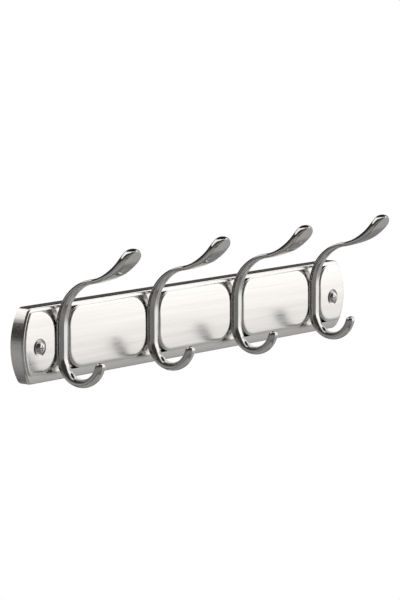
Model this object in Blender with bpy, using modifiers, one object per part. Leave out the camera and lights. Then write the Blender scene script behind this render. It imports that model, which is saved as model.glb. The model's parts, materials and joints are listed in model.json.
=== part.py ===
"""Wall hook rack: a hollow cast backplate with raised panels and four double hooks.

Metres, +Z up. The origin is the middle of the back face, on the wall. +X runs along the rack
and +Y goes into the wall. "Out" is the distance in front of the wall, so y = -out.
"""

import math

import bmesh
import bpy
from mathutils import Matrix, Vector

# Backplate
PLATE_LENGTH = 0.3888
PLATE_HEIGHT = 0.0546
END_BOW = 0.009  # how far each end bulges beyond its corners
PLATE_CORNER = 0.006
RIM_OUT = 0.0102  # the flat rim round the panels
RIM_ROUND = 0.0020
SIDE_WALL = 0.0018
PANEL_OUT = 0.0116  # the crest of the panels
PANEL_TOP = 0.0250
PANEL_BOTTOM = -0.0215
PANEL_CORNER = 0.0160
PANEL_OUTER_CORNER = 0.0046
PANEL_ROUND = 0.0014
PANEL_WALL = 0.0022
END_RIM = 0.0024  # rim left beyond the end panels
VALLEY_OUT = 0.0080  # the floor between two panels, where a hook stands
VALLEY_WIDTH = 0.0142
VALLEY_LIP = 0.0006  # how far the panels lap over the edge of a valley's recess
WEB = 0.0022  # metal behind a valley floor

# Hooks
HOOK_COUNT = 4
HOOK_PITCH = 0.1016
HOOK_WIDTH = 0.0090
SHANK_DEPTH = 0.0064
LOWER_RADIUS = 0.0177  # of the lower hook's centreline
LOWER_GAP = 0.00076  # between the lower hook's back and the rim under its valley
LOWER_TURN = 177
LOWER_THICKNESS = 0.0062
LOWER_TAPER = 0.55  # where the lower hook starts to thicken towards the shank
LOWER_CAP = 0.0031
ARM_RADIUS = 0.0345
ARM_GAP = 0.00053  # between the arm's back and the rim over its valley
ARM_TURN = 80
NECK_WIDTH = 0.0086
NECK_THICKNESS = 0.0036
SPOON_RADIUS = 0.0510
SPOON_TURN = 52
SPOON_WIDTH = 0.0210
SPOON_THICKNESS = 0.0072
SPOON_BELLY = 0.32  # share of the added thickness that moves the centreline outwards
SPOON_SPREAD = 0.50  # share of the length over which it widens

# Fasteners
CLEARANCE = 0.0003  # between pieces that touch or fit
CUT_BEYOND = 0.0010  # how far a cutter runs past the face it opens
SCREW_RADIUS = 0.0020  # M4 machine screw, two behind each hook
SCREW_LENGTH = 0.0080
SCREW_HEAD_RADIUS = 0.0038
SCREW_HEAD_HEIGHT = 0.0024
SCREW_SPREAD = 0.0240
WASHER_RADIUS = 0.0036
WASHER_THICKNESS = 0.0009
WASHER_SPLIT = 14  # degrees
WALL_SCREW_SPACING = 0.3540
WALL_SCREW_DROP = 0.0015  # below the plate's middle
WALL_SCREW_RADIUS = 0.0024
WALL_SCREW_LENGTH = 0.0254
WALL_SCREW_POINT = 0.0060
WALL_HEAD_RADIUS = 0.0047
WALL_HEAD_HEIGHT = 0.0030
HEAD_CROWN = ((0.45, 0.04), (0.80, 0.20), (1.00, 0.50))  # shares of the radius and height
RECESS_SPAN = 0.0052  # cross recess, across its arms
RECESS_WIDTH = 0.0011
RECESS_DEPTH = 0.0017
SMALL_RECESS = 0.8  # the hook screws' recess against the wall screws'
DIMPLE_RADIUS = 0.0085
DIMPLE_DEPTH = 0.0012
DIMPLE_SEAT = 0.0056
POST_RADIUS = 0.0060  # the post behind each wall screw's seat

# Resolution
ARC_STEPS = 6
BEVEL_STEPS = 2
TURN_STEPS = 16
SECTION_POINTS = 12
SECTION_POWER = 3.2  # 2 would be an ellipse, and a higher power is squarer
SWEEP_STEPS = 10  # along the lower hook and the arm
SPOON_STEPS = 12
LOWER_END = (0.04, 0.25, 0.6)  # sections over the round lower tip, in shares of its cap
SPOON_END = (0.6, 0.3, 0.12, 0.02)  # sections over the spoon's tip, in shares of its half width


def clear_scene():
    for obj in list(bpy.data.objects):
        bpy.data.objects.remove(obj, do_unlink=True)


def new_collection(name):
    collection = bpy.data.collections.new(name)
    bpy.context.scene.collection.children.link(collection)
    return collection


def metal(name, colour, roughness):
    material = bpy.data.materials.new(name)
    material.use_nodes = True
    shader = material.node_tree.nodes["Principled BSDF"]
    shader.inputs["Base Color"].default_value = (*colour, 1)
    shader.inputs["Roughness"].default_value = roughness
    shader.inputs["Metallic"].default_value = 1
    return material


def mesh_object(name, shape, collection, material=None):
    """A new object from a bmesh, which is freed."""
    bmesh.ops.recalc_face_normals(shape, faces=shape.faces)
    mesh = bpy.data.meshes.new(name)
    shape.to_mesh(mesh)
    shape.free()
    if material:
        mesh.materials.append(material)
    obj = bpy.data.objects.new(name, mesh)
    collection.objects.link(obj)
    return obj


def arc(centre, radius, start, end, steps=ARC_STEPS):
    """Points along an arc, with its angles in degrees."""
    points = []
    for step in range(steps + 1):
        angle = math.radians(start + (end - start) * step / steps)
        points.append((centre[0] + radius * math.cos(angle), centre[1] + radius * math.sin(angle)))
    return points


def straight_side(edge, low, high, corner):
    """The right side of an outline from top to bottom, straight between rounded corners."""
    x = edge - corner
    return arc((x, high - corner), corner, 90, 0) + arc((x, low + corner), corner, 0, -90)


def bowed_side(rim, low, high, corner):
    """The right side from top to bottom, parallel to the plate's bowed end and this far inside it."""
    half_height = PLATE_HEIGHT / 2
    bow_radius = (half_height ** 2 + END_BOW ** 2) / (2 * END_BOW)
    centre = PLATE_LENGTH / 2 - bow_radius
    reach = bow_radius - rim - corner
    upper = math.asin((high - corner) / reach)
    lower = math.asin((low + corner) / reach)
    upper_centre = (centre + reach * math.cos(upper), high - corner)
    lower_centre = (centre + reach * math.cos(lower), low + corner)
    top, bottom = math.degrees(upper), math.degrees(lower)
    return (
        arc(upper_centre, corner, 90, top)
        + arc((centre, 0), bow_radius - rim, top, bottom)[1:-1]
        + arc(lower_centre, corner, bottom, -90)
    )


def closed_outline(right_side, left_side):
    """An outline from its right side and the mirror image of its left one, both top to bottom."""
    return right_side + [(-x, z) for x, z in reversed(left_side)]


def plate_outline(inset=0.0):
    half = PLATE_HEIGHT / 2 - inset
    side = bowed_side(inset, -half, half, PLATE_CORNER - inset)
    return closed_outline(side, side)


def panel_outlines(inset=0.0):
    """Each panel's outline from left to right, with its edges moved in by the inset."""
    low, high = PANEL_BOTTOM + inset, PANEL_TOP - inset
    end = bowed_side(END_RIM + inset, low, high, PANEL_OUTER_CORNER - inset)
    outlines = []
    places = hook_places()
    for number in range(HOOK_COUNT + 1):
        left = right = end
        if number > 0:
            edge = -(places[number - 1] + VALLEY_WIDTH / 2) - inset
            left = straight_side(edge, low, high, PANEL_CORNER - inset)
        if number < HOOK_COUNT:
            edge = places[number] - VALLEY_WIDTH / 2 - inset
            right = straight_side(edge, low, high, PANEL_CORNER - inset)
        outlines.append(closed_outline(right, left))
    return outlines


def slab(name, outline, out_from, out_to, collection, edge_round=0.0, material=None):
    """An outline in XZ carried from one distance out to another, with its front edge rounded."""
    shape = bmesh.new()
    verts = [shape.verts.new((x, -out_from, z)) for x, z in outline]
    back = shape.faces.new(verts)
    swept = bmesh.ops.extrude_face_region(shape, geom=[back])["geom"]
    front = [item for item in swept if isinstance(item, bmesh.types.BMVert)]
    bmesh.ops.translate(shape, vec=(0, out_from - out_to, 0), verts=front)
    if edge_round:
        edges = [e for e in shape.edges if all(v in front for v in e.verts)]
        bmesh.ops.bevel(
            shape, geom=edges, offset=edge_round, segments=BEVEL_STEPS, profile=0.5, affect="EDGES"
        )
    return mesh_object(name, shape, collection, material)


def turned(name, profile, collection, material=None):
    """A profile of (radius, out) pairs turned about the outward axis, from its front end back."""
    mesh = bpy.data.meshes.new(name)
    count = len(profile)
    mesh.from_pydata([(r, 0, out) for r, out in profile], [(i, i + 1) for i in range(count - 1)], [])
    guide = bpy.data.objects.new(name + "_profile", mesh)
    bpy.context.scene.collection.objects.link(guide)
    screw = guide.modifiers.new("turn", "SCREW")
    screw.steps = screw.render_steps = TURN_STEPS
    screw.use_merge_vertices = True
    screw.merge_threshold = 0.00001
    bpy.context.view_layer.update()
    made = bpy.data.meshes.new_from_object(guide.evaluated_get(bpy.context.evaluated_depsgraph_get()))
    bpy.data.objects.remove(guide, do_unlink=True)
    made.transform(Matrix.Rotation(math.radians(90), 4, "X"))
    shape = bmesh.new()
    shape.from_mesh(made)
    bmesh.ops.remove_doubles(shape, verts=shape.verts, dist=0.00001)
    return mesh_object(name, shape, collection, material)


def disc(radius, out_from, out_to):
    """The profile of a plain cylinder."""
    return [(0, out_to), (radius, out_to), (radius, out_from), (0, out_from)]


def box(name, size, centre, collection):
    shape = bmesh.new()
    bmesh.ops.create_cube(shape, size=1, matrix=Matrix.Translation(centre) @ Matrix.Diagonal((*size, 1)))
    return mesh_object(name, shape, collection)


def loft(name, rings, collection, material=None):
    """A closed skin through rings that all have the same number of points."""
    shape = bmesh.new()
    loops = [[shape.verts.new(point) for point in ring] for ring in rings]
    count = len(rings[0])
    for near, far in zip(loops, loops[1:]):
        for i in range(count):
            j = (i + 1) % count
            shape.faces.new((near[i], near[j], far[j], far[i]))
    shape.faces.new(loops[0])
    shape.faces.new(loops[-1])
    return mesh_object(name, shape, collection, material)


def combine(target, others, operation):
    """Join or cut the target with other objects, apply the result and remove them."""
    for other in others:
        modifier = target.modifiers.new(operation.lower(), "BOOLEAN")
        modifier.operation = operation
        modifier.solver = "EXACT"
        modifier.object = other
    bpy.context.view_layer.update()
    graph = bpy.context.evaluated_depsgraph_get()
    made = bpy.data.meshes.new_from_object(target.evaluated_get(graph))
    target.modifiers.clear()
    target.data = made
    for other in others:
        bpy.data.objects.remove(other, do_unlink=True)


def copy_of(source, name, place, collection):
    obj = bpy.data.objects.new(name, source.data)
    obj.location = place
    collection.objects.link(obj)
    return obj


def smooth(obj, angle=35):
    obj.data.shade_smooth()
    obj.data.set_sharp_from_angle(angle=math.radians(angle))


def hook_places():
    """X of each hook, from left to right."""
    return [(i - (HOOK_COUNT - 1) / 2) * HOOK_PITCH for i in range(HOOK_COUNT)]


def make_backplate(collection, cutters, material):
    plate = slab("backplate", plate_outline(), 0, RIM_OUT, collection, RIM_ROUND, material)
    reach = VALLEY_WIDTH / 2 + PANEL_CORNER
    depth = PANEL_OUT - VALLEY_OUT
    tall = PANEL_TOP - PANEL_BOTTOM - 2 * VALLEY_LIP
    middle = (PANEL_TOP + PANEL_BOTTOM) / 2
    valleys = [
        box("valley", (2 * reach, depth, tall), (x, -VALLEY_OUT - depth / 2, middle), cutters)
        for x in hook_places()
    ]
    combine(plate, valleys, "DIFFERENCE")
    panels = [
        slab("panel", outline, VALLEY_OUT - WEB / 2, PANEL_OUT, cutters, PANEL_ROUND)
        for outline in panel_outlines()
    ]
    combine(plate, panels, "UNION")

    back_floor = VALLEY_OUT - WEB
    hollow = [slab("hollow", plate_outline(SIDE_WALL), -CUT_BEYOND, back_floor, cutters)]
    for outline in panel_outlines(PANEL_WALL):
        hollow.append(slab("pocket", outline, back_floor / 2, PANEL_OUT - PANEL_WALL, cutters))
    combine(plate, hollow, "DIFFERENCE")

    wall_screws = [-WALL_SCREW_SPACING / 2, WALL_SCREW_SPACING / 2]
    posts, holes = [], []
    post = disc(POST_RADIUS, 0, PANEL_OUT - PANEL_WALL / 2)
    seat = PANEL_OUT - DIMPLE_DEPTH
    slope = (DIMPLE_RADIUS - DIMPLE_SEAT) / DIMPLE_DEPTH
    bore = WALL_SCREW_RADIUS + CLEARANCE
    screw_hole = [
        (0, PANEL_OUT + CUT_BEYOND),
        (DIMPLE_RADIUS + CUT_BEYOND * slope, PANEL_OUT + CUT_BEYOND),
        (DIMPLE_SEAT, seat),
        (bore, seat),
        (bore, -CUT_BEYOND),
        (0, -CUT_BEYOND),
    ]
    for x in wall_screws:
        for profile, group in ((post, posts), (screw_hole, holes)):
            tool = turned("screw_place", profile, cutters)
            tool.location = (x, 0, -WALL_SCREW_DROP)
            group.append(tool)
    web_hole = disc(SCREW_RADIUS + CLEARANCE, 0, PANEL_OUT)
    for x in hook_places():
        for z in (-SCREW_SPREAD / 2, SCREW_SPREAD / 2):
            tool = turned("web_hole", web_hole, cutters)
            tool.location = (x, 0, z)
            holes.append(tool)
    combine(plate, posts, "UNION")
    combine(plate, holes, "DIFFERENCE")
    smooth(plate)
    return plate


def ease(t):
    """Smooth step from 0 to 1."""
    t = max(0.0, min(1.0, t))
    return t * t * (3 - 2 * t)


def blend(a, b, t):
    return a + (b - a) * ease(t)


def along_arc(place, heading, radius, turn):
    """Where an arc of the centreline ends, in (out, up); a positive turn bends it up and back."""
    side = 1 if turn > 0 else -1
    start, end = math.radians(heading), math.radians(heading + turn)
    out = place[0] + side * radius * (math.sin(end) - math.sin(start))
    up = place[1] - side * radius * (math.cos(end) - math.cos(start))
    return (out, up), heading + turn


def rounded_end(length, left):
    """How much of its width a section keeps this far from a round end."""
    if left >= length:
        return 1.0
    return math.sqrt(max(0.0, 1 - (1 - left / length) ** 2))


def bend_start(middle, radius, gap):
    """How far inside its valley a bend starts, so that its back clears the rim by this gap."""
    reach = radius + SHANK_DEPTH / 2 + gap
    ahead = middle + radius - RIM_OUT
    return math.sqrt(max(0.0, reach ** 2 - ahead ** 2))


def hook_sections():
    """(place, heading, width, thickness) along the hook, from its lower tip to its upper tip."""
    middle = VALLEY_OUT + CLEARANCE + SHANK_DEPTH / 2
    bottom = PANEL_BOTTOM + VALLEY_LIP + bend_start(middle, LOWER_RADIUS, LOWER_GAP)
    top = PANEL_TOP - VALLEY_LIP - bend_start(middle, ARM_RADIUS, ARM_GAP)
    sections = []

    lower_length = LOWER_RADIUS * math.radians(LOWER_TURN)
    steps = [LOWER_CAP * share / lower_length for share in LOWER_END]
    steps += [step / SWEEP_STEPS for step in range(1, SWEEP_STEPS)]
    for t in steps:
        turn = LOWER_TURN * (1 - t)
        place, heading = along_arc((middle, bottom), -90, LOWER_RADIUS, turn)
        keep = rounded_end(LOWER_CAP, t * lower_length)
        thickness = blend(LOWER_THICKNESS, SHANK_DEPTH, (t - LOWER_TAPER) / (1 - LOWER_TAPER))
        sections.append((place, heading + 180, HOOK_WIDTH * keep, thickness * keep))

    for t in (0.0, 0.5):
        place = (middle, bottom + (top - bottom) * t)
        sections.append((place, 90, HOOK_WIDTH, SHANK_DEPTH))

    for step in range(SWEEP_STEPS):
        t = step / SWEEP_STEPS
        place, heading = along_arc((middle, top), 90, ARM_RADIUS, -ARM_TURN * t)
        width = blend(HOOK_WIDTH, NECK_WIDTH, t)
        sections.append((place, heading, width, blend(SHANK_DEPTH, NECK_THICKNESS, t)))

    neck, bend = along_arc((middle, top), 90, ARM_RADIUS, -ARM_TURN)
    spoon_length = SPOON_RADIUS * math.radians(SPOON_TURN)
    rim = SPOON_WIDTH / 2
    edge = SPOON_THICKNESS / 2
    whole = [step / SPOON_STEPS for step in range(SPOON_STEPS)]
    steps = [t for t in whole if spoon_length * (1 - t) > rim * SPOON_END[0]]
    steps += [1 - rim * share / spoon_length for share in SPOON_END]
    for t in steps:
        remain = spoon_length * (1 - t)
        place, heading = along_arc(neck, bend, SPOON_RADIUS, SPOON_TURN * t)
        width = blend(NECK_WIDTH, SPOON_WIDTH, t / SPOON_SPREAD) * rounded_end(rim, remain)
        full = blend(NECK_THICKNESS, SPOON_THICKNESS, t)
        belly = SPOON_BELLY * (full - NECK_THICKNESS)
        angle = math.radians(heading)
        place = (place[0] + belly * math.sin(angle), place[1] - belly * math.cos(angle))
        sections.append((place, heading, width, full * rounded_end(edge, remain)))
    return sections


def section_ring(place, heading, width, thickness):
    """Points round a squarish rounded section that stands square to the centreline."""
    across = Vector((1, 0, 0))
    angle = math.radians(heading)
    through = Vector((0, math.sin(angle), math.cos(angle)))
    centre = Vector((0, -place[0], place[1]))
    ring = []
    for i in range(SECTION_POINTS):
        a = 2 * math.pi * (i + 0.5) / SECTION_POINTS
        c, s = math.cos(a), math.sin(a)
        x = math.copysign(abs(c) ** (2 / SECTION_POWER), c) * width / 2
        t = math.copysign(abs(s) ** (2 / SECTION_POWER), s) * thickness / 2
        ring.append(centre + across * x + through * t)
    return ring


def make_hooks(collection, cutters, material):
    rings = [section_ring(*section) for section in hook_sections()]
    first = loft("hook_1", rings, collection, material)
    back = VALLEY_OUT + CLEARANCE
    tip = VALLEY_OUT - WEB - CLEARANCE - WASHER_THICKNESS - CLEARANCE + SCREW_LENGTH
    bore = disc(SCREW_RADIUS + CLEARANCE, back - CUT_BEYOND, tip + CLEARANCE)
    holes = []
    for z in (-SCREW_SPREAD / 2, SCREW_SPREAD / 2):
        tool = turned("tapped_hole", bore, cutters)
        tool.location.z = z
        holes.append(tool)
    combine(first, holes, "DIFFERENCE")
    smooth(first)
    places = hook_places()
    first.location.x = places[0]
    for number, x in enumerate(places[1:], start=2):
        copy_of(first, f"hook_{number}", (x, 0, 0), collection)


def cut_recess(screw, top, scale, cutters):
    """Cut a cross recess into a screw's head, which faces along Y from this distance out."""
    blades = []
    for long_way in (0, 2):
        size = [RECESS_WIDTH * scale, 2 * RECESS_DEPTH * scale, RECESS_WIDTH * scale]
        size[long_way] = RECESS_SPAN * scale
        blades.append(box("blade", size, (0, -top, 0), cutters))
    combine(screw, blades, "DIFFERENCE")
    smooth(screw)


def make_hook_screws(collection, cutters, material, washer_material):
    """Pan-head machine screws and split lock washers, driven from behind into each hook."""
    washer_front = VALLEY_OUT - WEB - CLEARANCE
    under_head = washer_front - WASHER_THICKNESS - CLEARANCE
    head_back = under_head - SCREW_HEAD_HEIGHT
    tip = under_head + SCREW_LENGTH
    crown = [(SCREW_HEAD_RADIUS * r, head_back + SCREW_HEAD_HEIGHT * down) for r, down in HEAD_CROWN]
    profile = [(0, tip), (SCREW_RADIUS, tip), (SCREW_RADIUS, under_head), (SCREW_HEAD_RADIUS, under_head)]
    profile += crown[::-1] + [(0, head_back)]
    screw = turned("hook_screw_1_lower", profile, collection, material)
    cut_recess(screw, head_back, SMALL_RECESS, cutters)

    inner = SCREW_RADIUS + CLEARANCE
    rings = []
    for step in range(TURN_STEPS + 1):
        angle = math.radians(WASHER_SPLIT / 2 + (360 - WASHER_SPLIT) * step / TURN_STEPS)
        ring = []
        for radius, out in (
            (inner, washer_front),
            (WASHER_RADIUS, washer_front),
            (WASHER_RADIUS, washer_front - WASHER_THICKNESS),
            (inner, washer_front - WASHER_THICKNESS),
        ):
            ring.append((radius * math.sin(angle), -out, radius * math.cos(angle)))
        rings.append(ring)
    washer = loft("lock_washer_1_lower", rings, collection, washer_material)

    for number, x in enumerate(hook_places(), start=1):
        for end, z in (("lower", -SCREW_SPREAD / 2), ("upper", SCREW_SPREAD / 2)):
            place = (x, 0, z)
            if number == 1 and end == "lower":
                screw.location = washer.location = place
                continue
            copy_of(screw, f"hook_screw_{number}_{end}", place, collection)
            copy_of(washer, f"lock_washer_{number}_{end}", place, collection)


def make_wall_screws(collection, cutters, material):
    under_head = PANEL_OUT - DIMPLE_DEPTH + CLEARANCE
    top = under_head + WALL_HEAD_HEIGHT
    tip = under_head - WALL_SCREW_LENGTH
    profile = [(0, top)]
    profile += [(WALL_HEAD_RADIUS * r, top - WALL_HEAD_HEIGHT * down) for r, down in HEAD_CROWN]
    profile += [
        (WALL_HEAD_RADIUS, under_head),
        (WALL_SCREW_RADIUS, under_head),
        (WALL_SCREW_RADIUS, tip + WALL_SCREW_POINT),
        (0, tip),
    ]
    screw = turned("wall_screw_left", profile, collection, material)
    cut_recess(screw, top, 1, cutters)
    screw.location = (-WALL_SCREW_SPACING / 2, 0, -WALL_SCREW_DROP)
    copy_of(screw, "wall_screw_right", (WALL_SCREW_SPACING / 2, 0, -WALL_SCREW_DROP), collection)


def main():
    clear_scene()
    parts = new_collection("wall_hook_rack")
    cutters = new_collection("cutters")
    nickel = metal("satin_nickel", (0.78, 0.77, 0.75), 0.32)
    chrome = metal("polished_chrome", (0.66, 0.65, 0.64), 0.06)
    zinc = metal("zinc_plated_steel", (0.62, 0.62, 0.62), 0.3)
    spring = metal("spring_steel", (0.30, 0.30, 0.31), 0.35)
    make_backplate(parts, cutters, nickel)
    make_hooks(parts, cutters, chrome)
    make_hook_screws(parts, cutters, zinc, spring)
    make_wall_screws(parts, cutters, chrome)


main()
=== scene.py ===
"""Looks of the wall hook rack: a satin nickel plate with raised panels and polished chrome hooks.

Metres, +Z up. The wall is the plane y = 0, and "out" is the distance in front of it, so y = -out.
"""

import json
import math

import bmesh
import bpy
from mathutils import Matrix, Vector

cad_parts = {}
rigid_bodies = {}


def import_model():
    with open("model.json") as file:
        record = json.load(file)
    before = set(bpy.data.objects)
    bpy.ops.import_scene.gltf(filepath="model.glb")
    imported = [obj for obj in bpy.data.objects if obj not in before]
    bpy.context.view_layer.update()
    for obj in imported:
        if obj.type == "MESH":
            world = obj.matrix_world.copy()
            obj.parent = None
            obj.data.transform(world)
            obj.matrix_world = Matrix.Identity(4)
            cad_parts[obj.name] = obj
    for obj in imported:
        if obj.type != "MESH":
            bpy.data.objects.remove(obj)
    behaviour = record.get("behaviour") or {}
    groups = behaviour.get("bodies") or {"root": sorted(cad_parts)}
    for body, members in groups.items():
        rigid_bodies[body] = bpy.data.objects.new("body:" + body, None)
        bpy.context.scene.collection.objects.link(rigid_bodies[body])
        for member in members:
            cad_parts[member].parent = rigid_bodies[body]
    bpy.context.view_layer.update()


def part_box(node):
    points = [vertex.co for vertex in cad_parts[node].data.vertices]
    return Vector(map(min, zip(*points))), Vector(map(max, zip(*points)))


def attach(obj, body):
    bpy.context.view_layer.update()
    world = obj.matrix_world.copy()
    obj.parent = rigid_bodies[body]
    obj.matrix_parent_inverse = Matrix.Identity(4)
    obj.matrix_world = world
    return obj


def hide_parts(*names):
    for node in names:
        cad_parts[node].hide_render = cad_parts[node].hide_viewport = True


for leftover in list(bpy.data.objects):
    bpy.data.objects.remove(leftover, do_unlink=True)
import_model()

PLATE_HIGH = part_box("backplate")[1]
HALF_LENGTH = PLATE_HIGH.x
HALF_HEIGHT = PLATE_HIGH.z
HOOKS = ["hook_1", "hook_2", "hook_3", "hook_4"]
HOOK_PLACES = [(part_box(name)[0].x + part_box(name)[1].x) / 2 for name in HOOKS]
HOOK_BACK = -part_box("hook_1")[1].y
WALL_SCREW_PLACES = {
    name: (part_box(name)[0].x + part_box(name)[1].x) / 2 for name in ("wall_screw_left", "wall_screw_right")
}
WALL_SCREW_Z = (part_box("wall_screw_left")[0].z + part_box("wall_screw_left")[1].z) / 2

# Plate
END_BOW = 0.009  # how far each end bulges
PLATE_CORNER = 0.006
RIM_OUT = 0.0114  # the face round the panels, at the plate's middle height
RIM_ROUND = 0.0014
SIDE_WALL = 0.0018
PANEL_OUT = 0.0121  # the crest of the panels
PANEL_TOP = 0.0250
PANEL_BOTTOM = -0.0215
PANEL_CORNER = 0.0160
PANEL_OUTER_CORNER = 0.0046
PANEL_SOFT = 0.0030  # how far in from its edge a panel goes on rising
PANEL_RISE = 0.0013  # and how far it rises there
PANEL_WALL = 0.0022
END_RIM = 0.0012  # rim left beyond the end panels
VALLEY_OUT = 0.0080  # the floor between two panels, where a hook stands
VALLEY_WIDTH = 0.0142
VALLEY_LIP = 0.0006  # how far the panels lap over the ends of a valley
BACK_FLOOR = 0.0058  # the back of the web behind the valleys
BARREL_DROP = 0.0013  # how much nearer the wall the top and bottom edges are than the middle
FLANK_DROP = 0.0014  # added towards the bottom edge
FLANK_START = -0.0165  # the height where that starts
DIMPLE_RADIUS = 0.0066
SEAT_OUT = 0.0112  # the flat in each dimple, where a wall screw's head lies
SEAT_RADIUS = 0.0052
BORE_RADIUS = 0.0027
POST_RADIUS = 0.0060  # the post behind each wall screw's seat
WEB_HOLE_RADIUS = 0.0023
OVERLAP = 0.001  # how far a cutter or a joined piece runs past the face it meets
CUT_CLEAR = 0.0002  # the height over a panel where a dimple's cutter is at its widest
CUT_BEYOND = 0.002  # and where it ends
VALLEY_CUT = 0.01  # the depth of the valleys' cutters
MERGE = 0.00001  # points closer than this are one

# Hooks, with turns in degrees
HOOK_WIDTH = 0.0087
SHANK_DEPTH = 0.0064
SHANK_TOP = 0.0110
SHANK_BOTTOM = -0.0105
LOWER_RADIUS = 0.0177  # of the lower hook's centreline
LOWER_TURN = 177
LOWER_THICKNESS = 0.0062
LOWER_CAP = 0.0031  # how far from its tip the lower hook starts to round off
LOWER_TAPER = 0.55  # where the lower hook starts to thicken towards the shank
LOWER_FLATTENS = 0.7  # where its sides start to turn flat
ARM_RADIUS = 0.0345
ARM_TURN = 80
NECK_WIDTH = 0.0084
NECK_THICKNESS = 0.0036
SPOON_RADIUS = 0.0510
SPOON_TURN = 52
SPOON_WIDTH = 0.0208
SPOON_THICKNESS = 0.0072
SPOON_BELLY = 0.32  # share of the added thickness that moves the centreline outwards
SPOON_SPREAD = 0.50  # share of the length over which it widens
SPOON_END = 0.0046  # how far from its tip the spoon's back starts to round off
SPOON_CROWN = 0.45  # how much of its depth the spoon's face loses towards its sides
SPOON_SHIFT = 0.24  # share of the thickness that the spoon's edge lies nearer to its face
SECTION_POWER = 2.1  # 2 would be an ellipse, and a higher power is squarer
FLAT_FRONT, FLAT_BACK = 0.3, 0.9  # added to the power where the sides are flat
SPOON_FRONT, SPOON_BACK = 3.4, -0.8  # added to it at the spoon

# Fasteners
SCREW_SPREAD = 0.024  # between the two screws behind a hook
LOWER_SCREW_Z = -SCREW_SPREAD / 2
SCREW_EDGE = 0.0002  # the softened edges of a hook screw
SCREW_HEAD_HEIGHT = 0.0024
SCREW_HEAD_CROWN = ((0.5, 0.0), (0.72, 0.00008), (0.88, 0.00035), (0.97, 0.0008), (1.0, 0.0013))
SCREW_NECK_RADIUS, SCREW_TIP_RADIUS = 0.0019, 0.0014
SCREW_ROOT, SCREW_CREST, SCREW_PITCH = 0.0017, 0.0020, 0.0007
SCREW_RECESS = (0.0042, 0.0009, -0.0014)  # span, width, and depth, under 0 in a head that faces the wall
WALL_HEAD_RISE = 0.0008  # how much prouder the wall screws' heads stand than the CAD's
WALL_HEAD_GAP = 0.0003  # under the head, and the height of its lower edge's slope
WALL_HEAD_BAND = 0.0006  # how high over its underside the head's dome starts
WALL_HEAD_SHARE = 0.93  # of a quarter turn, so that the dome ends in a small flat
WALL_ROOT, WALL_CREST, WALL_PITCH = 0.0018, 0.0024, 0.00195
WALL_TIP_RADIUS, WALL_TIP_SHARE = 0.0002, 0.6  # of the root's radius, where the tip's cone ends
WALL_TIP_LENGTH = 0.003
WALL_THREAD_START, WALL_THREAD_END = 0.004, 0.008  # from the tip and from the head
WALL_POINT = 0.007  # the length over which the thread grows to its full width
WALL_PLAIN = 0.006  # the plain shank under the head
WALL_CREST_AT, WALL_ROOT_AT = 0.45, 0.6  # shares of the pitch
WALL_RECESS = (0.0052, 0.0011, 0.0019)
RECESS_TAPER = 0.55
WASHER_RADIUS = 0.00295  # of the wire's middle
WASHER_WIRE = (0.00125, 0.0008)
WASHER_EDGE = 0.00012
WASHER_TURN = 348  # degrees
WASHER_MERGE = 0.000001

# Resolution
PLATE_SHARP, HOOK_SHARP, FASTENER_SHARP = 32, 60, 35  # degrees
CORNER_STEPS = 14
BOW_CORNER_STEPS = 10
BOW_STEPS = 24
RIM_STEPS = 6
PANEL_STEPS = 8
BARREL_CUTS = 22
DIMPLE_STEPS = 8
DOME_STEPS = 9
SECTION_POINTS = 40
LOWER_TIP = (0.02, 0.08, 0.2, 0.36, 0.55, 0.78)  # sections over the lower tip, in shares of its cap
LOWER_START = 0.06  # where the lower hook's even sections start
LOWER_STEPS = 26
SHANK_STEPS = (0.0, 0.33, 0.67)
ARM_STEPS = 22
SPOON_STEPS = 28
SPOON_EVEN = 0.8  # the spoon's even sections stop this share of its half width from its tip
SPOON_TIP = (0.74, 0.6, 0.47, 0.36, 0.26, 0.17, 0.1, 0.05, 0.015)

# Camera
LENS = 166.76
AIM = (0.02035, 0, 0.01123)
CAMERA_AZIMUTH = 52.0
CAMERA_DROP = 7.385
CAMERA_DISTANCE = 2.1041

# Studio
FLOOR_RADIUS = 1.0
FLOOR_Z = -1.2
WARM_GREEN, WARM_BLUE = 0.985, 0.965  # of the light's red
NOISE_LOW, NOISE_HIGH = 0.3, 0.7  # most noise lies between these


# Modelling

def only(obj):
    """Leave this object alone selected and active."""
    bpy.ops.object.select_all(action="DESELECT")
    obj.select_set(True)
    bpy.context.view_layer.objects.active = obj


def arc(centre, radius, start, end, steps):
    """Points along an arc from one angle to another, in degrees."""
    points = []
    for step in range(steps + 1):
        angle = math.radians(start + (end - start) * step / steps)
        points.append((centre[0] + radius * math.cos(angle), centre[1] + radius * math.sin(angle)))
    return points


def straight_side(edge, low, high, corner):
    """The right side of an outline from top to bottom, straight between rounded corners."""
    x = edge - corner
    upper = arc((x, high - corner), corner, 90, 0, CORNER_STEPS)
    return upper + arc((x, low + corner), corner, 0, -90, CORNER_STEPS)


def bowed_side(rim, low, high, corner):
    """The right side from top to bottom, parallel to the plate's bowed end and this far inside it."""
    bow_radius = (HALF_HEIGHT ** 2 + END_BOW ** 2) / (2 * END_BOW)
    centre = HALF_LENGTH - bow_radius
    reach = bow_radius - rim - corner
    upper = math.asin((high - corner) / reach)
    lower = math.asin((low + corner) / reach)
    top, bottom = math.degrees(upper), math.degrees(lower)
    upper_centre = (centre + reach * math.cos(upper), high - corner)
    lower_centre = (centre + reach * math.cos(lower), low + corner)
    return (
        arc(upper_centre, corner, 90, top, BOW_CORNER_STEPS)
        + arc((centre, 0), bow_radius - rim, top, bottom, BOW_STEPS)[1:-1]
        + arc(lower_centre, corner, bottom, -90, BOW_CORNER_STEPS)
    )


def closed_outline(right_side, left_side):
    """An outline from its right side and its left one, which is given as if it were on the right."""
    return right_side + [(-x, z) for x, z in reversed(left_side)]


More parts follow.
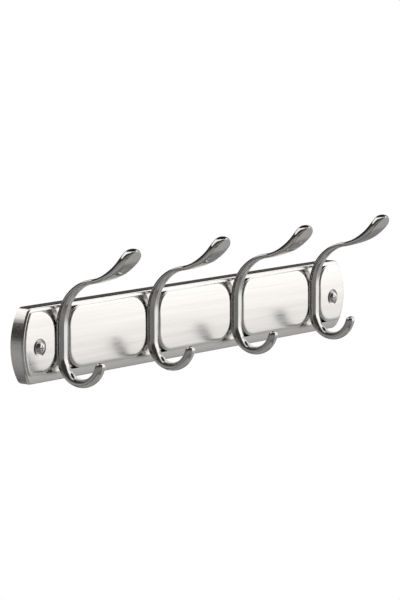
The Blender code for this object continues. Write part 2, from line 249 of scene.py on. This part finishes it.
def plate_outline(inset=0.0):
    """The plate's outline, with its edges moved in by the inset."""
    half = HALF_HEIGHT - inset
    side = bowed_side(inset, -half, half, PLATE_CORNER - inset)
    return closed_outline(side, side)


def panel_outlines(inset=0.0):
    """Each panel's outline from left to right, with its edges moved in by the inset."""
    low, high = PANEL_BOTTOM + inset, PANEL_TOP - inset
    end = bowed_side(END_RIM + inset, low, high, PANEL_OUTER_CORNER - inset)
    outlines = []
    for number in range(len(HOOK_PLACES) + 1):
        left = right = end
        if number > 0:
            edge = -(HOOK_PLACES[number - 1] + VALLEY_WIDTH / 2) - inset
            left = straight_side(edge, low, high, PANEL_CORNER - inset)
        if number < len(HOOK_PLACES):
            edge = HOOK_PLACES[number] - VALLEY_WIDTH / 2 - inset
            right = straight_side(edge, low, high, PANEL_CORNER - inset)
        outlines.append(closed_outline(right, left))
    return outlines


def cut_sheet(name, outline, out, height):
    """A flat piece of this outline, thickened outwards. It is left in edit mode, its front selected."""
    bpy.ops.object.select_all(action="DESELECT")
    bpy.ops.mesh.primitive_circle_add(vertices=len(outline), fill_type="NGON")
    obj = bpy.context.object
    obj.name = obj.data.name = name
    for vert, (x, z) in zip(obj.data.vertices, outline):
        vert.co = (x, -out, z)
    bpy.ops.object.mode_set(mode="EDIT")
    bpy.ops.mesh.select_all(action="SELECT")
    bpy.ops.mesh.extrude_region_move(TRANSFORM_OT_translate={"value": (0, -height, 0)})
    return obj


def soften(width, rise, steps):
    """Round the selected front off with insets that follow a quarter of an ellipse."""
    before = (0.0, 0.0)
    for step in range(1, steps + 1):
        angle = math.radians(90 * step / steps)
        now = (width * (1 - math.cos(angle)), rise * math.sin(angle))
        bpy.ops.mesh.inset(thickness=now[0] - before[0], depth=0, use_even_offset=True)
        bpy.ops.transform.translate(value=(0, before[1] - now[1], 0))
        before = now


def leave_edit():
    """Close edit mode with every face turned outwards."""
    bpy.ops.mesh.select_all(action="SELECT")
    bpy.ops.mesh.normals_make_consistent(inside=False)
    bpy.ops.object.mode_set(mode="OBJECT")


def turned(name, profile, x=0.0, z=0.0, sides=48):
    """A round piece from (radius, out) pairs, drawn out from its first ring to its last."""
    radius, out = profile[0]
    bpy.ops.object.select_all(action="DESELECT")
    bpy.ops.mesh.primitive_circle_add(
        vertices=sides, radius=radius, fill_type="NGON", location=(x, -out, z), rotation=(math.pi / 2, 0, 0)
    )
    obj = bpy.context.object
    obj.name = obj.data.name = name
    bpy.ops.object.transform_apply(location=True, rotation=True, scale=True)
    bpy.ops.object.mode_set(mode="EDIT")
    bpy.ops.mesh.select_all(action="SELECT")
    for next_radius, next_out in profile[1:]:
        bpy.ops.mesh.extrude_region_move(TRANSFORM_OT_translate={"value": (0, out - next_out, 0)})
        scale = next_radius / radius
        if scale != 1:
            bpy.ops.transform.resize(value=(scale, 1, scale), center_override=(x, -next_out, z))
        radius, out = next_radius, next_out
    leave_edit()
    return obj


def smooth(piece, sharp):
    """Shade a piece smooth, except over edges that turn more than this many degrees."""
    only(piece)
    bpy.ops.object.shade_smooth_by_angle(angle=math.radians(sharp))


def combine(target, others, operation):
    """Join or cut the target with other pieces, which are then thrown away."""
    only(target)
    for other in others:
        modifier = target.modifiers.new("cut", "BOOLEAN")
        modifier.operation = operation
        modifier.solver = "EXACT"
        modifier.object = other
        bpy.ops.object.modifier_apply(modifier=modifier.name)
        bpy.data.objects.remove(other, do_unlink=True)


def block(name, size, centre):
    """A box with its size and place in its mesh."""
    bpy.ops.object.select_all(action="DESELECT")
    bpy.ops.mesh.primitive_cube_add(size=1, location=centre)
    obj = bpy.context.object
    obj.name = obj.data.name = name
    obj.scale = size
    bpy.ops.object.transform_apply(location=True, rotation=True, scale=True)
    return obj


def copy_to(source, name, shift):
    """A copy of a piece with its own mesh, moved by the shift."""
    obj = source.copy()
    obj.data = source.data.copy()
    obj.name = obj.data.name = name
    obj.data.transform(Matrix.Translation(shift))
    bpy.context.scene.collection.objects.link(obj)
    return obj


def ease(t):
    """A smooth step from 0 to 1, level at both ends."""
    t = max(0.0, min(1.0, t))
    return t * t * (3 - 2 * t)


def blend(a, b, t):
    """A smooth change from one value to another."""
    return a + (b - a) * ease(t)


# The plate

def valley_cutters():
    """Cutters wide enough to clear the panels' round corners beside each hook."""
    size = (VALLEY_WIDTH + 2 * PANEL_CORNER, VALLEY_CUT, PANEL_TOP - PANEL_BOTTOM - 2 * VALLEY_LIP)
    y, z = -VALLEY_OUT - VALLEY_CUT / 2, (PANEL_TOP + PANEL_BOTTOM) / 2
    return [block("valley", size, (x, y, z)) for x in HOOK_PLACES]


def raised_panels():
    """The five panels, each with a soft edge, ready to be joined to the plate."""
    panels = []
    start = VALLEY_OUT - OVERLAP
    for outline in panel_outlines():
        panels.append(cut_sheet("panel", outline, start, PANEL_OUT - PANEL_RISE - start))
        soften(PANEL_SOFT, PANEL_RISE, PANEL_STEPS)
        leave_edit()
    return panels


def back_hollows():
    """Cutters for the shallow hollow behind the whole plate and the deeper one behind each panel."""
    hollows = [cut_sheet("hollow", plate_outline(SIDE_WALL), -OVERLAP, BACK_FLOOR + OVERLAP)]
    leave_edit()
    start = BACK_FLOOR / 2
    for outline in panel_outlines(PANEL_WALL + OVERLAP):
        hollows.append(cut_sheet("pocket", outline, start, PANEL_OUT - PANEL_WALL - PANEL_RISE - start))
        leave_edit()
    return hollows


def wall_screw_posts():
    """Posts that carry the wall screws' seats down to the wall."""
    post = [(POST_RADIUS, 0), (POST_RADIUS, PANEL_OUT - PANEL_WALL / 2)]
    return [turned("post", post, x, WALL_SCREW_Z) for x in WALL_SCREW_PLACES.values()]


def wall_screw_bores():
    """Cutters that are a bore, a flat seat and a dimple in one."""
    bowl = [(BORE_RADIUS, -OVERLAP), (BORE_RADIUS, SEAT_OUT), (SEAT_RADIUS, SEAT_OUT)]
    lip = PANEL_OUT - SEAT_OUT
    for step in range(1, DIMPLE_STEPS + 1):
        t = step / DIMPLE_STEPS
        bowl.append((SEAT_RADIUS + (DIMPLE_RADIUS - SEAT_RADIUS) * t, SEAT_OUT + lip * ease(t)))
    bowl.append((DIMPLE_RADIUS + OVERLAP, PANEL_OUT + CUT_CLEAR))
    bowl.append((DIMPLE_RADIUS + OVERLAP, PANEL_OUT + CUT_BEYOND))
    return [turned("screw_dimple", bowl, x, WALL_SCREW_Z, sides=64) for x in WALL_SCREW_PLACES.values()]


def web_holes():
    """Cutters for the holes that the hooks' screws pass through."""
    hole = [(WEB_HOLE_RADIUS, 0), (WEB_HOLE_RADIUS, PANEL_OUT)]
    return [
        turned("web_hole", hole, x, z, sides=32) for x in HOOK_PLACES for z in (LOWER_SCREW_Z, -LOWER_SCREW_Z)
    ]


def barrel(plate):
    """Cut the plate in level strips, and curve its face back towards its top and bottom edges."""
    only(plate)
    bpy.ops.object.mode_set(mode="EDIT")
    for number in range(1, BARREL_CUTS):
        bpy.ops.mesh.select_all(action="SELECT")
        z = -HALF_HEIGHT + 2 * HALF_HEIGHT * number / BARREL_CUTS
        bpy.ops.mesh.bisect(plane_co=(0, 0, z), plane_no=(0, 0, 1))
    bpy.ops.mesh.select_all(action="SELECT")
    bpy.ops.mesh.remove_doubles(threshold=MERGE)
    leave_edit()
    for vert in plate.data.vertices:
        out, z = -vert.co.y, vert.co.z
        share = max(0.0, min(1.0, (out - BACK_FLOOR) / (VALLEY_OUT - BACK_FLOOR)))
        below = max(0.0, (FLANK_START - z) / (HALF_HEIGHT + FLANK_START))
        drop = BARREL_DROP * (z / HALF_HEIGHT) ** 2 + FLANK_DROP * below ** 2
        vert.co.y += share * drop


def make_plate():
    """A hollow plate with a soft rim, raised panels, and bores for its screws."""
    plate = cut_sheet("plate", plate_outline(), 0, RIM_OUT - RIM_ROUND)
    soften(RIM_ROUND, RIM_ROUND, RIM_STEPS)
    leave_edit()
    combine(plate, valley_cutters(), "DIFFERENCE")
    combine(plate, raised_panels(), "UNION")
    combine(plate, back_hollows(), "DIFFERENCE")
    combine(plate, wall_screw_posts(), "UNION")
    combine(plate, wall_screw_bores() + web_holes(), "DIFFERENCE")
    barrel(plate)
    smooth(plate, PLATE_SHARP)
    weighted = plate.modifiers.new("weighted", "WEIGHTED_NORMAL")
    weighted.keep_sharp = True
    bpy.ops.object.modifier_apply(modifier=weighted.name)
    return plate


# The hooks

def along_arc(place, heading, radius, turn):
    """Where an arc of the centreline ends, in (out, up); a positive turn bends it up and back."""
    side = 1 if turn > 0 else -1
    start, end = math.radians(heading), math.radians(heading + turn)
    out = place[0] + side * radius * (math.sin(end) - math.sin(start))
    up = place[1] - side * radius * (math.cos(end) - math.cos(start))
    return (out, up), heading + turn


def rounded_end(length, left):
    """How much of its width a section keeps this far from a round end."""
    if left >= length:
        return 1.0
    return math.sqrt(max(0.0, 1 - (1 - left / length) ** 2))


def lower_sections(middle):
    """The lower hook, from its round tip back to the foot of the shank."""
    length = LOWER_RADIUS * math.radians(LOWER_TURN)
    steps = [LOWER_CAP * share / length for share in LOWER_TIP]
    steps += [LOWER_START + (1 - LOWER_START) * i / LOWER_STEPS for i in range(LOWER_STEPS)]
    sections = []
    for t in steps:
        place, heading = along_arc((middle, SHANK_BOTTOM), -90, LOWER_RADIUS, LOWER_TURN * (1 - t))
        keep = rounded_end(LOWER_CAP, t * length)
        thickness = blend(LOWER_THICKNESS, SHANK_DEPTH, (t - LOWER_TAPER) / (1 - LOWER_TAPER))
        flat = ease((t - LOWER_FLATTENS) / (1 - LOWER_FLATTENS))
        sections.append((place, heading + 180, HOOK_WIDTH * keep, thickness * keep, 0.0, flat, 1.0))
    return sections


def shank_and_arm_sections(middle):
    """The straight shank, and the arm that narrows to the neck of the spoon."""
    sections = []
    for t in SHANK_STEPS:
        place = (middle, SHANK_BOTTOM + (SHANK_TOP - SHANK_BOTTOM) * t)
        sections.append((place, 90, HOOK_WIDTH, SHANK_DEPTH, 0.0, 1.0, 1.0))
    for i in range(ARM_STEPS):
        t = i / ARM_STEPS
        place, heading = along_arc((middle, SHANK_TOP), 90, ARM_RADIUS, -ARM_TURN * t)
        width = blend(HOOK_WIDTH, NECK_WIDTH, t)
        thickness = blend(SHANK_DEPTH, NECK_THICKNESS, t)
        sections.append((place, heading, width, thickness, 0.0, 1.0, 1.0))
    return sections


def spoon_sections(middle):
    """The spoon, which widens from the neck and ends round."""
    neck, bend = along_arc((middle, SHANK_TOP), 90, ARM_RADIUS, -ARM_TURN)
    length = SPOON_RADIUS * math.radians(SPOON_TURN)
    rim = SPOON_WIDTH / 2
    left = [length * (1 - i / SPOON_STEPS) for i in range(SPOON_STEPS)]
    left = [remain for remain in left if remain > rim * SPOON_EVEN]
    left += [rim * share for share in SPOON_TIP]
    sections = []
    for remain in left:
        t = 1 - remain / length
        place, heading = along_arc(neck, bend, SPOON_RADIUS, SPOON_TURN * t)
        width = blend(NECK_WIDTH, SPOON_WIDTH, t / SPOON_SPREAD) * rounded_end(rim, remain)
        full = blend(NECK_THICKNESS, SPOON_THICKNESS, t)
        belly = SPOON_BELLY * (full - NECK_THICKNESS)
        angle = math.radians(heading)
        place = (place[0] + belly * math.sin(angle), place[1] - belly * math.cos(angle))
        back = rounded_end(SPOON_END, remain)
        sections.append((place, heading, width, full, ease(t / SPOON_SPREAD), 1.0, back))
    return sections


def hook_sections():
    """(place, heading, width, thickness, spoon, flat, back) from the lower tip to the upper one."""
    middle = HOOK_BACK + SHANK_DEPTH / 2
    return lower_sections(middle) + shank_and_arm_sections(middle) + spoon_sections(middle)


def section_ring(place, heading, width, thickness, spoon, flat, back):
    """Points round a section. Its sides are flat or round, and a spoon has a crisp face and a full back."""
    bias = 0.5 - SPOON_SHIFT * spoon
    front_power = SECTION_POWER + FLAT_FRONT * flat + SPOON_FRONT * spoon
    back_power = SECTION_POWER + FLAT_BACK * flat + SPOON_BACK * spoon
    angle = math.radians(heading)
    through = Vector((0, math.sin(angle), math.cos(angle)))
    centre = Vector((0, -place[0], place[1]))
    ring = []
    for i in range(SECTION_POINTS):
        a = 2 * math.pi * (i + 0.5) / SECTION_POINTS
        c, s = math.cos(a), math.sin(a)
        power = back_power if s > 0 else front_power
        depth = (1 - bias) * back if s > 0 else bias * (1 - SPOON_CROWN * spoon * c * c)
        x = math.copysign(abs(c) ** (2 / power), c) * width / 2
        t = math.copysign(abs(s) ** (2 / power), s) * thickness * depth + thickness * (bias - 0.5)
        ring.append(centre + Vector((x, 0, 0)) + through * t)
    return ring


def make_hook():
    """A bar drawn out section by section, from the lower tip to the end of the spoon."""
    sections = hook_sections()
    bpy.ops.object.select_all(action="DESELECT")
    bpy.ops.mesh.primitive_circle_add(vertices=SECTION_POINTS, fill_type="NGON")
    hook = bpy.context.object
    hook.name = hook.data.name = "chrome_hook_1"
    for vert, point in zip(hook.data.vertices, section_ring(*sections[0])):
        vert.co = point
    bpy.ops.object.mode_set(mode="EDIT")
    bpy.ops.mesh.select_all(action="SELECT")
    before = section_ring(*sections[0])
    for section in sections[1:]:
        bpy.ops.mesh.extrude_region_move()
        shape = bmesh.from_edit_mesh(hook.data)
        ring = section_ring(*section)
        for vert in [v for v in shape.verts if v.select]:
            nearest = min(range(SECTION_POINTS), key=lambda i: (before[i] - vert.co).length_squared)
            vert.co = ring[nearest]
        bmesh.update_edit_mesh(hook.data)
        before = ring
    leave_edit()
    smooth(hook, HOOK_SHARP)
    return hook


# Fasteners

def cut_cross(screw, x, z, out, span, width, depth):
    """Cut a cross recess that narrows towards its bottom, which lies this deep towards the wall."""
    bottom = depth - out
    for size in ((span, depth * 2, width), (width, depth * 2, span)):
        blade = block("blade", size, (x, -out, z))
        bpy.ops.object.mode_set(mode="EDIT")
        bpy.ops.mesh.select_all(action="DESELECT")
        bpy.ops.object.mode_set(mode="OBJECT")
        for vert in blade.data.vertices:
            vert.select = abs(vert.co.y - bottom) < MERGE
        bpy.ops.object.mode_set(mode="EDIT")
        bpy.ops.transform.resize(value=(RECESS_TAPER, 1, RECESS_TAPER), center_override=(x, bottom, z))
        leave_edit()
        combine(screw, [blade], "DIFFERENCE")


def make_wall_screw():
    """A pan-head screw with a pointed tip, its thread made of separate rings."""
    low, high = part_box("wall_screw_left")
    x, z = WALL_SCREW_PLACES["wall_screw_left"], WALL_SCREW_Z
    head = (high.z - low.z) / 2
    top = WALL_HEAD_RISE - low.y
    under = SEAT_OUT + WALL_HEAD_GAP
    tip = -high.y
    profile = [(WALL_TIP_RADIUS, tip), (WALL_ROOT * WALL_TIP_SHARE, tip + WALL_TIP_LENGTH)]
    out = tip + WALL_THREAD_START
    while out < under - WALL_THREAD_END:
        grow = min(1.0, (out - tip) / WALL_POINT)
        profile += [(WALL_ROOT * grow, out), (WALL_CREST * grow, out + WALL_PITCH * WALL_CREST_AT)]
        profile.append((WALL_ROOT * grow, out + WALL_PITCH * WALL_ROOT_AT))
        out += WALL_PITCH
    profile += [(WALL_CREST, under - WALL_PLAIN), (WALL_CREST, under)]
    profile += [(head - WALL_HEAD_GAP, under), (head, under + WALL_HEAD_GAP)]
    dome = under + WALL_HEAD_BAND
    for step in range(1, DOME_STEPS + 1):
        angle = math.radians(90 * step / DOME_STEPS)
        profile.append((head * math.cos(angle * WALL_HEAD_SHARE), dome + (top - dome) * math.sin(angle)))
    screw = turned("nickel_wall_screw_left", profile, x, z, sides=40)
    cut_cross(screw, x, z, top, *WALL_RECESS)
    smooth(screw, FASTENER_SHARP)
    return screw


def make_hook_screw():
    """A machine screw with a softly crowned head, its thread made of separate rings."""
    low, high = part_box("hook_screw_1_lower")
    x, z = (low.x + high.x) / 2, (low.z + high.z) / 2
    head = (high.x - low.x) / 2
    back, tip = -high.y, -low.y
    under = back + SCREW_HEAD_HEIGHT
    profile = [(head * share, back + rise) for share, rise in SCREW_HEAD_CROWN]
    profile += [(head, under - SCREW_EDGE), (head - SCREW_EDGE, under), (SCREW_NECK_RADIUS, under)]
    out = under + 2 * SCREW_EDGE
    while out < tip - 4 * SCREW_EDGE:
        profile += [(SCREW_ROOT, out), (SCREW_CREST, out + SCREW_PITCH / 2)]
        out += SCREW_PITCH
    profile += [(SCREW_ROOT, tip - SCREW_EDGE), (SCREW_TIP_RADIUS, tip)]
    screw = turned("zinc_hook_screw_1_lower", profile, x, z, sides=36)
    cut_cross(screw, x, z, back, *SCREW_RECESS)
    smooth(screw, FASTENER_SHARP)
    return screw


def make_lock_washer():
    """A ring of square wire with soft edges and a narrow split."""
    low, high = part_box("lock_washer_1_lower")
    x, y = (low.x + high.x) / 2, (low.y + high.y) / 2
    bpy.ops.object.select_all(action="DESELECT")
    bpy.ops.mesh.primitive_plane_add(
        size=1, location=(x, y, LOWER_SCREW_Z + WASHER_RADIUS), rotation=(0, math.pi / 2, 0)
    )
    washer = bpy.context.object
    washer.name = washer.data.name = "spring_washer_1_lower"
    washer.scale = (*WASHER_WIRE, 1)
    bpy.ops.object.transform_apply(location=True, rotation=True, scale=True)
    bpy.ops.object.mode_set(mode="EDIT")
    bpy.ops.mesh.select_all(action="SELECT")
    bpy.ops.mesh.bevel(affect="VERTICES", offset=WASHER_EDGE, segments=2)
    bpy.ops.mesh.spin(
        steps=40, angle=math.radians(WASHER_TURN), center=(x, y, LOWER_SCREW_Z), axis=(0, 1, 0), dupli=False
    )
    bpy.ops.mesh.select_all(action="SELECT")
    bpy.ops.mesh.remove_doubles(threshold=WASHER_MERGE)
    bpy.ops.mesh.select_all(action="DESELECT")
    bpy.ops.mesh.select_non_manifold()
    bpy.ops.mesh.edge_face_add()
    leave_edit()
    smooth(washer, FASTENER_SHARP)
    return washer


# Finishes

def finish(name, colour, metallic, roughness):
    """A plain material, its nodes and its shader."""
    material = bpy.data.materials.new(name)
    material.use_nodes = True
    shader = material.node_tree.nodes["Principled BSDF"]
    shader.inputs["Base Color"].default_value = (*colour, 1)
    shader.inputs["Metallic"].default_value = metallic
    shader.inputs["Roughness"].default_value = roughness
    return material, material.node_tree, shader


def grain(tree, scale, detail, stretch=(1, 1, 1)):
    """Noise in the piece's own metres, drawn out along any axis with a small stretch."""
    coords = tree.nodes.new("ShaderNodeTexCoord")
    mapping = tree.nodes.new("ShaderNodeMapping")
    mapping.inputs["Scale"].default_value = stretch
    noise = tree.nodes.new("ShaderNodeTexNoise")
    noise.inputs["Scale"].default_value = scale
    noise.inputs["Detail"].default_value = detail
    tree.links.new(coords.outputs["Object"], mapping.inputs["Vector"])
    tree.links.new(mapping.outputs["Vector"], noise.inputs["Vector"])
    return noise.outputs["Fac"]


def spread(tree, value, low, high, from_low=NOISE_LOW, from_high=NOISE_HIGH):
    """The value stretched from one range to another."""
    node = tree.nodes.new("ShaderNodeMapRange")
    node.inputs["From Min"].default_value = from_low
    node.inputs["From Max"].default_value = from_high
    node.inputs["To Min"].default_value = low
    node.inputs["To Max"].default_value = high
    tree.links.new(value, node.inputs["Value"])
    return node.outputs["Result"]


def tint(tree, value, dark, light):
    """A colour between two that follows the noise."""
    ramp = tree.nodes.new("ShaderNodeValToRGB")
    ramp.color_ramp.elements[0].position = NOISE_LOW
    ramp.color_ramp.elements[1].position = NOISE_HIGH
    ramp.color_ramp.elements[0].color = (*dark, 1)
    ramp.color_ramp.elements[1].color = (*light, 1)
    tree.links.new(value, ramp.inputs["Fac"])
    return ramp.outputs["Color"]


def relief(tree, shader, value, strength, distance):
    """Let the noise raise the surface."""
    bump = tree.nodes.new("ShaderNodeBump")
    bump.inputs["Strength"].default_value = strength
    bump.inputs["Distance"].default_value = distance
    tree.links.new(value, bump.inputs["Height"])
    tree.links.new(bump.outputs["Normal"], shader.inputs["Normal"])


def satin_nickel():
    material, tree, shader = finish("satin_nickel", (0.84, 0.83, 0.815), 1.0, 0.27)
    brushing = grain(tree, 1.0, 3.0, (14, 300, 1500))
    streaks = grain(tree, 1.0, 4.0, (5, 120, 240))
    tree.links.new(tint(tree, streaks, (0.80, 0.79, 0.775), (0.87, 0.862, 0.85)), shader.inputs["Base Color"])
    tree.links.new(spread(tree, brushing, 0.18, 0.27), shader.inputs["Roughness"])
    relief(tree, shader, brushing, 0.04, 0.00010)
    return material


def polished_chrome():
    material, tree, shader = finish("polished_chrome", (0.74, 0.73, 0.715), 1.0, 0.05)
    film = grain(tree, 90.0, 2.0)
    tree.links.new(tint(tree, film, (0.72, 0.71, 0.695), (0.76, 0.752, 0.74)), shader.inputs["Base Color"])
    tree.links.new(spread(tree, film, 0.05, 0.10), shader.inputs["Roughness"])
    waves = grain(tree, 70.0, 1.0, (1, 1, 0.5))
    relief(tree, shader, waves, 0.03, 0.0003)
    return material


def speckled_metal(name, colours, roughness, scale, detail, strength):
    """A small part's metal: one noise varies its colour, its gloss and its surface."""
    plain, dark, light = colours
    even, smooth, rough = roughness
    material, tree, shader = finish(name, plain, 1.0, even)
    speckle = grain(tree, scale, detail)
    tree.links.new(spread(tree, speckle, smooth, rough), shader.inputs["Roughness"])
    tree.links.new(tint(tree, speckle, dark, light), shader.inputs["Base Color"])
    relief(tree, shader, speckle, strength, 0.0001)
    return material


def nickel_screw():
    colours = ((0.72, 0.71, 0.70), (0.66, 0.65, 0.64), (0.76, 0.75, 0.74))
    return speckled_metal("bright_nickel_screw", colours, (0.14, 0.10, 0.22), 900.0, 3.0, 0.08)


def zinc_plate():
    colours = ((0.60, 0.62, 0.64), (0.52, 0.55, 0.60), (0.68, 0.67, 0.62))
    return speckled_metal("zinc_plating", colours, (0.32, 0.24, 0.44), 420.0, 4.0, 0.15)


def spring_steel():
    colours = ((0.20, 0.20, 0.21), (0.14, 0.14, 0.15), (0.27, 0.26, 0.26))
    return speckled_metal("spring_steel", colours, (0.38, 0.30, 0.52), 700.0, 4.0, 0.2)


def dress(piece, material, slot, *nodes):
    """Give a piece its finish, let it ride with the rack and stand for its CAD nodes."""
    piece.data.materials.clear()
    piece.data.materials.append(material)
    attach(piece, "root")
    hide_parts(*nodes)


# Studio

def set_camera():
    """A long lens in front of the rack, to its left and a little above it."""
    data = bpy.data.cameras.new("camera")
    data.lens = LENS
    data.clip_start = 0.05
    camera = bpy.data.objects.new("camera", data)
    bpy.context.scene.collection.objects.link(camera)
    azimuth, drop = math.radians(CAMERA_AZIMUTH), math.radians(CAMERA_DROP)
    level = math.cos(drop)
    forward = Vector((math.sin(azimuth) * level, math.cos(azimuth) * level, -math.sin(drop)))
    camera.location = Vector(AIM) - forward * CAMERA_DISTANCE
    camera.rotation_euler = forward.to_track_quat("-Z", "Y").to_euler()
    bpy.context.scene.camera = camera


def make_floor():
    """A round pale floor under the rack."""
    bpy.ops.object.select_all(action="DESELECT")
    bpy.ops.mesh.primitive_circle_add(
        vertices=96, radius=FLOOR_RADIUS, fill_type="NGON", location=(0, 0, FLOOR_Z)
    )
    floor = bpy.context.object
    floor.name = "floor"
    material, tree, shader = finish("pale_floor", (0.78, 0.775, 0.765), 0.0, 0.6)
    speckle = tint(tree, grain(tree, 30.0, 2.0), (0.76, 0.755, 0.745), (0.80, 0.795, 0.785))
    tree.links.new(speckle, shader.inputs["Base Color"])
    floor.data.materials.append(material)


def make_surroundings():
    """Soft light from a pale ceiling and a broad panel, with darker sides that give the chrome its edges.

    The light lies in level bands, written as (height, brightness) pairs, that differ from side to side.
    To the camera the surroundings are plain white.
    """
    world = bpy.data.worlds.new("studio")
    bpy.context.scene.world = world
    world.use_nodes = True
    tree = world.node_tree
    nodes, links = tree.nodes, tree.links
    nodes.clear()
    direction = nodes.new("ShaderNodeTexCoord").outputs["Generated"]
    height = nodes.new("ShaderNodeSeparateXYZ")
    links.new(direction, height.inputs["Vector"])
    rise = spread(tree, height.outputs["Z"], 0, 1, -1, 1)

    def bands(stops):
        """Bands of light by height, from -1 straight down to 1 straight up."""
        ramp = nodes.new("ShaderNodeValToRGB")
        ramp.color_ramp.interpolation = "LINEAR"
        while len(ramp.color_ramp.elements) < len(stops):
            ramp.color_ramp.elements.new(0.5)
        for element, (z, level) in zip(ramp.color_ramp.elements, stops):
            element.position = (z + 1) / 2
            element.color = (level, level * WARM_GREEN, level * WARM_BLUE, 1)
        links.new(rise, ramp.inputs["Fac"])
        return ramp.outputs["Color"]

    def towards(vector, start, full):
        """How much a direction lies within a cone about the vector, from its edge to where it is full."""
        dot = nodes.new("ShaderNodeVectorMath")
        dot.operation = "DOT_PRODUCT"
        dot.inputs[1].default_value = vector
        links.new(direction, dot.inputs[0])
        step = nodes.new("ShaderNodeMapRange")
        step.interpolation_type = "SMOOTHSTEP"
        step.inputs["From Min"].default_value = start
        step.inputs["From Max"].default_value = full
        links.new(dot.outputs["Value"], step.inputs["Value"])
        return step.outputs["Result"]

    def mix(share, outside, inside):
        """One light outside a cone and another inside it."""
        node = nodes.new("ShaderNodeMix")
        node.data_type = "RGBA"
        links.new(share, node.inputs["Factor"])
        links.new(outside, node.inputs["A"])
        links.new(inside, node.inputs["B"])
        return node.outputs["Result"]

    sides = bands([
        (-1, 0.04), (-0.75, 0.08), (-0.62, 0.25), (-0.5, 0.30), (-0.3, 0.36), (-0.03, 0.32), (0.05, 0.04),
        (0.42, 0.03), (0.52, 1.2), (1, 1.2),
    ])
    near = bands([
        (-1, 0.04), (-0.5, 0.25), (-0.15, 0.20), (0.0, 0.16), (0.1, 0.05), (0.95, 0.04), (1, 0.5),
    ])
    behind = bands([
        (-1, 0.05), (-0.6, 0.16), (-0.3, 0.30), (-0.22, 0.95), (0.02, 1.0), (0.06, 0.05), (0.72, 0.04),
        (0.85, 1.2),
    ])
    panel = bands([
        (-1, 0.10), (-0.62, 0.48), (-0.42, 0.55), (-0.33, 0.64), (-0.22, 0.92), (-0.12, 1.10), (0.0, 1.3),
        (1, 1.3),
    ])
    grey = bands([(-1, 0.42), (1, 0.42)])
    black = bands([(-1, 0.02), (1, 0.02)])
    camera_side = towards((-0.71, -0.71, 0.0), 0.02, 0.25)
    right_behind = towards((0.78, 0.62, 0.0), 0.72, 0.86)
    right_in_front = towards((0.84, -0.54, 0.0), 0.80, 0.90)
    low_right = towards((0.80, -0.25, -0.55), 0.93, 0.97)
    high_right = towards((0.50, 0.30, 0.81), 0.87, 0.90)
    lit = mix(camera_side, sides, near)
    lit = mix(right_behind, lit, behind)
    lit = mix(right_in_front, lit, panel)
    lit = mix(low_right, lit, grey)
    lit = mix(high_right, lit, black)
    light = nodes.new("ShaderNodeBackground")
    links.new(lit, light.inputs["Color"])
    plain = nodes.new("ShaderNodeBackground")
    plain.inputs["Color"].default_value = (1, 1, 1, 1)
    path = nodes.new("ShaderNodeLightPath")
    choose = nodes.new("ShaderNodeMixShader")
    output = nodes.new("ShaderNodeOutputWorld")
    links.new(path.outputs["Is Camera Ray"], choose.inputs["Fac"])
    links.new(light.outputs["Background"], choose.inputs[1])
    links.new(plain.outputs["Background"], choose.inputs[2])
    links.new(choose.outputs["Shader"], output.inputs["Surface"])


set_camera()
make_surroundings()
make_floor()
bpy.context.scene.view_settings.view_transform = "Standard"

dress(make_plate(), satin_nickel(), "plate", "backplate")

chrome = polished_chrome()
first_hook = make_hook()
for name, x in zip(HOOKS, HOOK_PLACES):
    piece = copy_to(first_hook, f"chrome_{name}", (x, 0, 0))
    dress(piece, chrome, "chrome", name)
bpy.data.objects.remove(first_hook, do_unlink=True)

screw_finish = nickel_screw()
left_screw = make_wall_screw()
gap = WALL_SCREW_PLACES["wall_screw_right"] - WALL_SCREW_PLACES["wall_screw_left"]
right_screw = copy_to(left_screw, "nickel_wall_screw_right", (gap, 0, 0))
dress(left_screw, screw_finish, "screw_chrome", "wall_screw_left")
dress(right_screw, screw_finish, "screw_chrome", "wall_screw_right")

zinc, spring = zinc_plate(), spring_steel()
small_screw, washer = make_hook_screw(), make_lock_washer()
for number, x in enumerate(HOOK_PLACES, start=1):
    for end, z in (("lower", 0.0), ("upper", SCREW_SPREAD)):
        shift = (x - HOOK_PLACES[0], 0, z)
        screw_copy = copy_to(small_screw, f"zinc_screw_{number}_{end}", shift)
        washer_copy = copy_to(washer, f"spring_ring_{number}_{end}", shift)
        dress(screw_copy, zinc, "zinc", f"hook_screw_{number}_{end}")
        dress(washer_copy, spring, "spring", f"lock_washer_{number}_{end}")
bpy.data.objects.remove(small_screw, do_unlink=True)
bpy.data.objects.remove(washer, do_unlink=True)

bpy.context.view_layer.update()
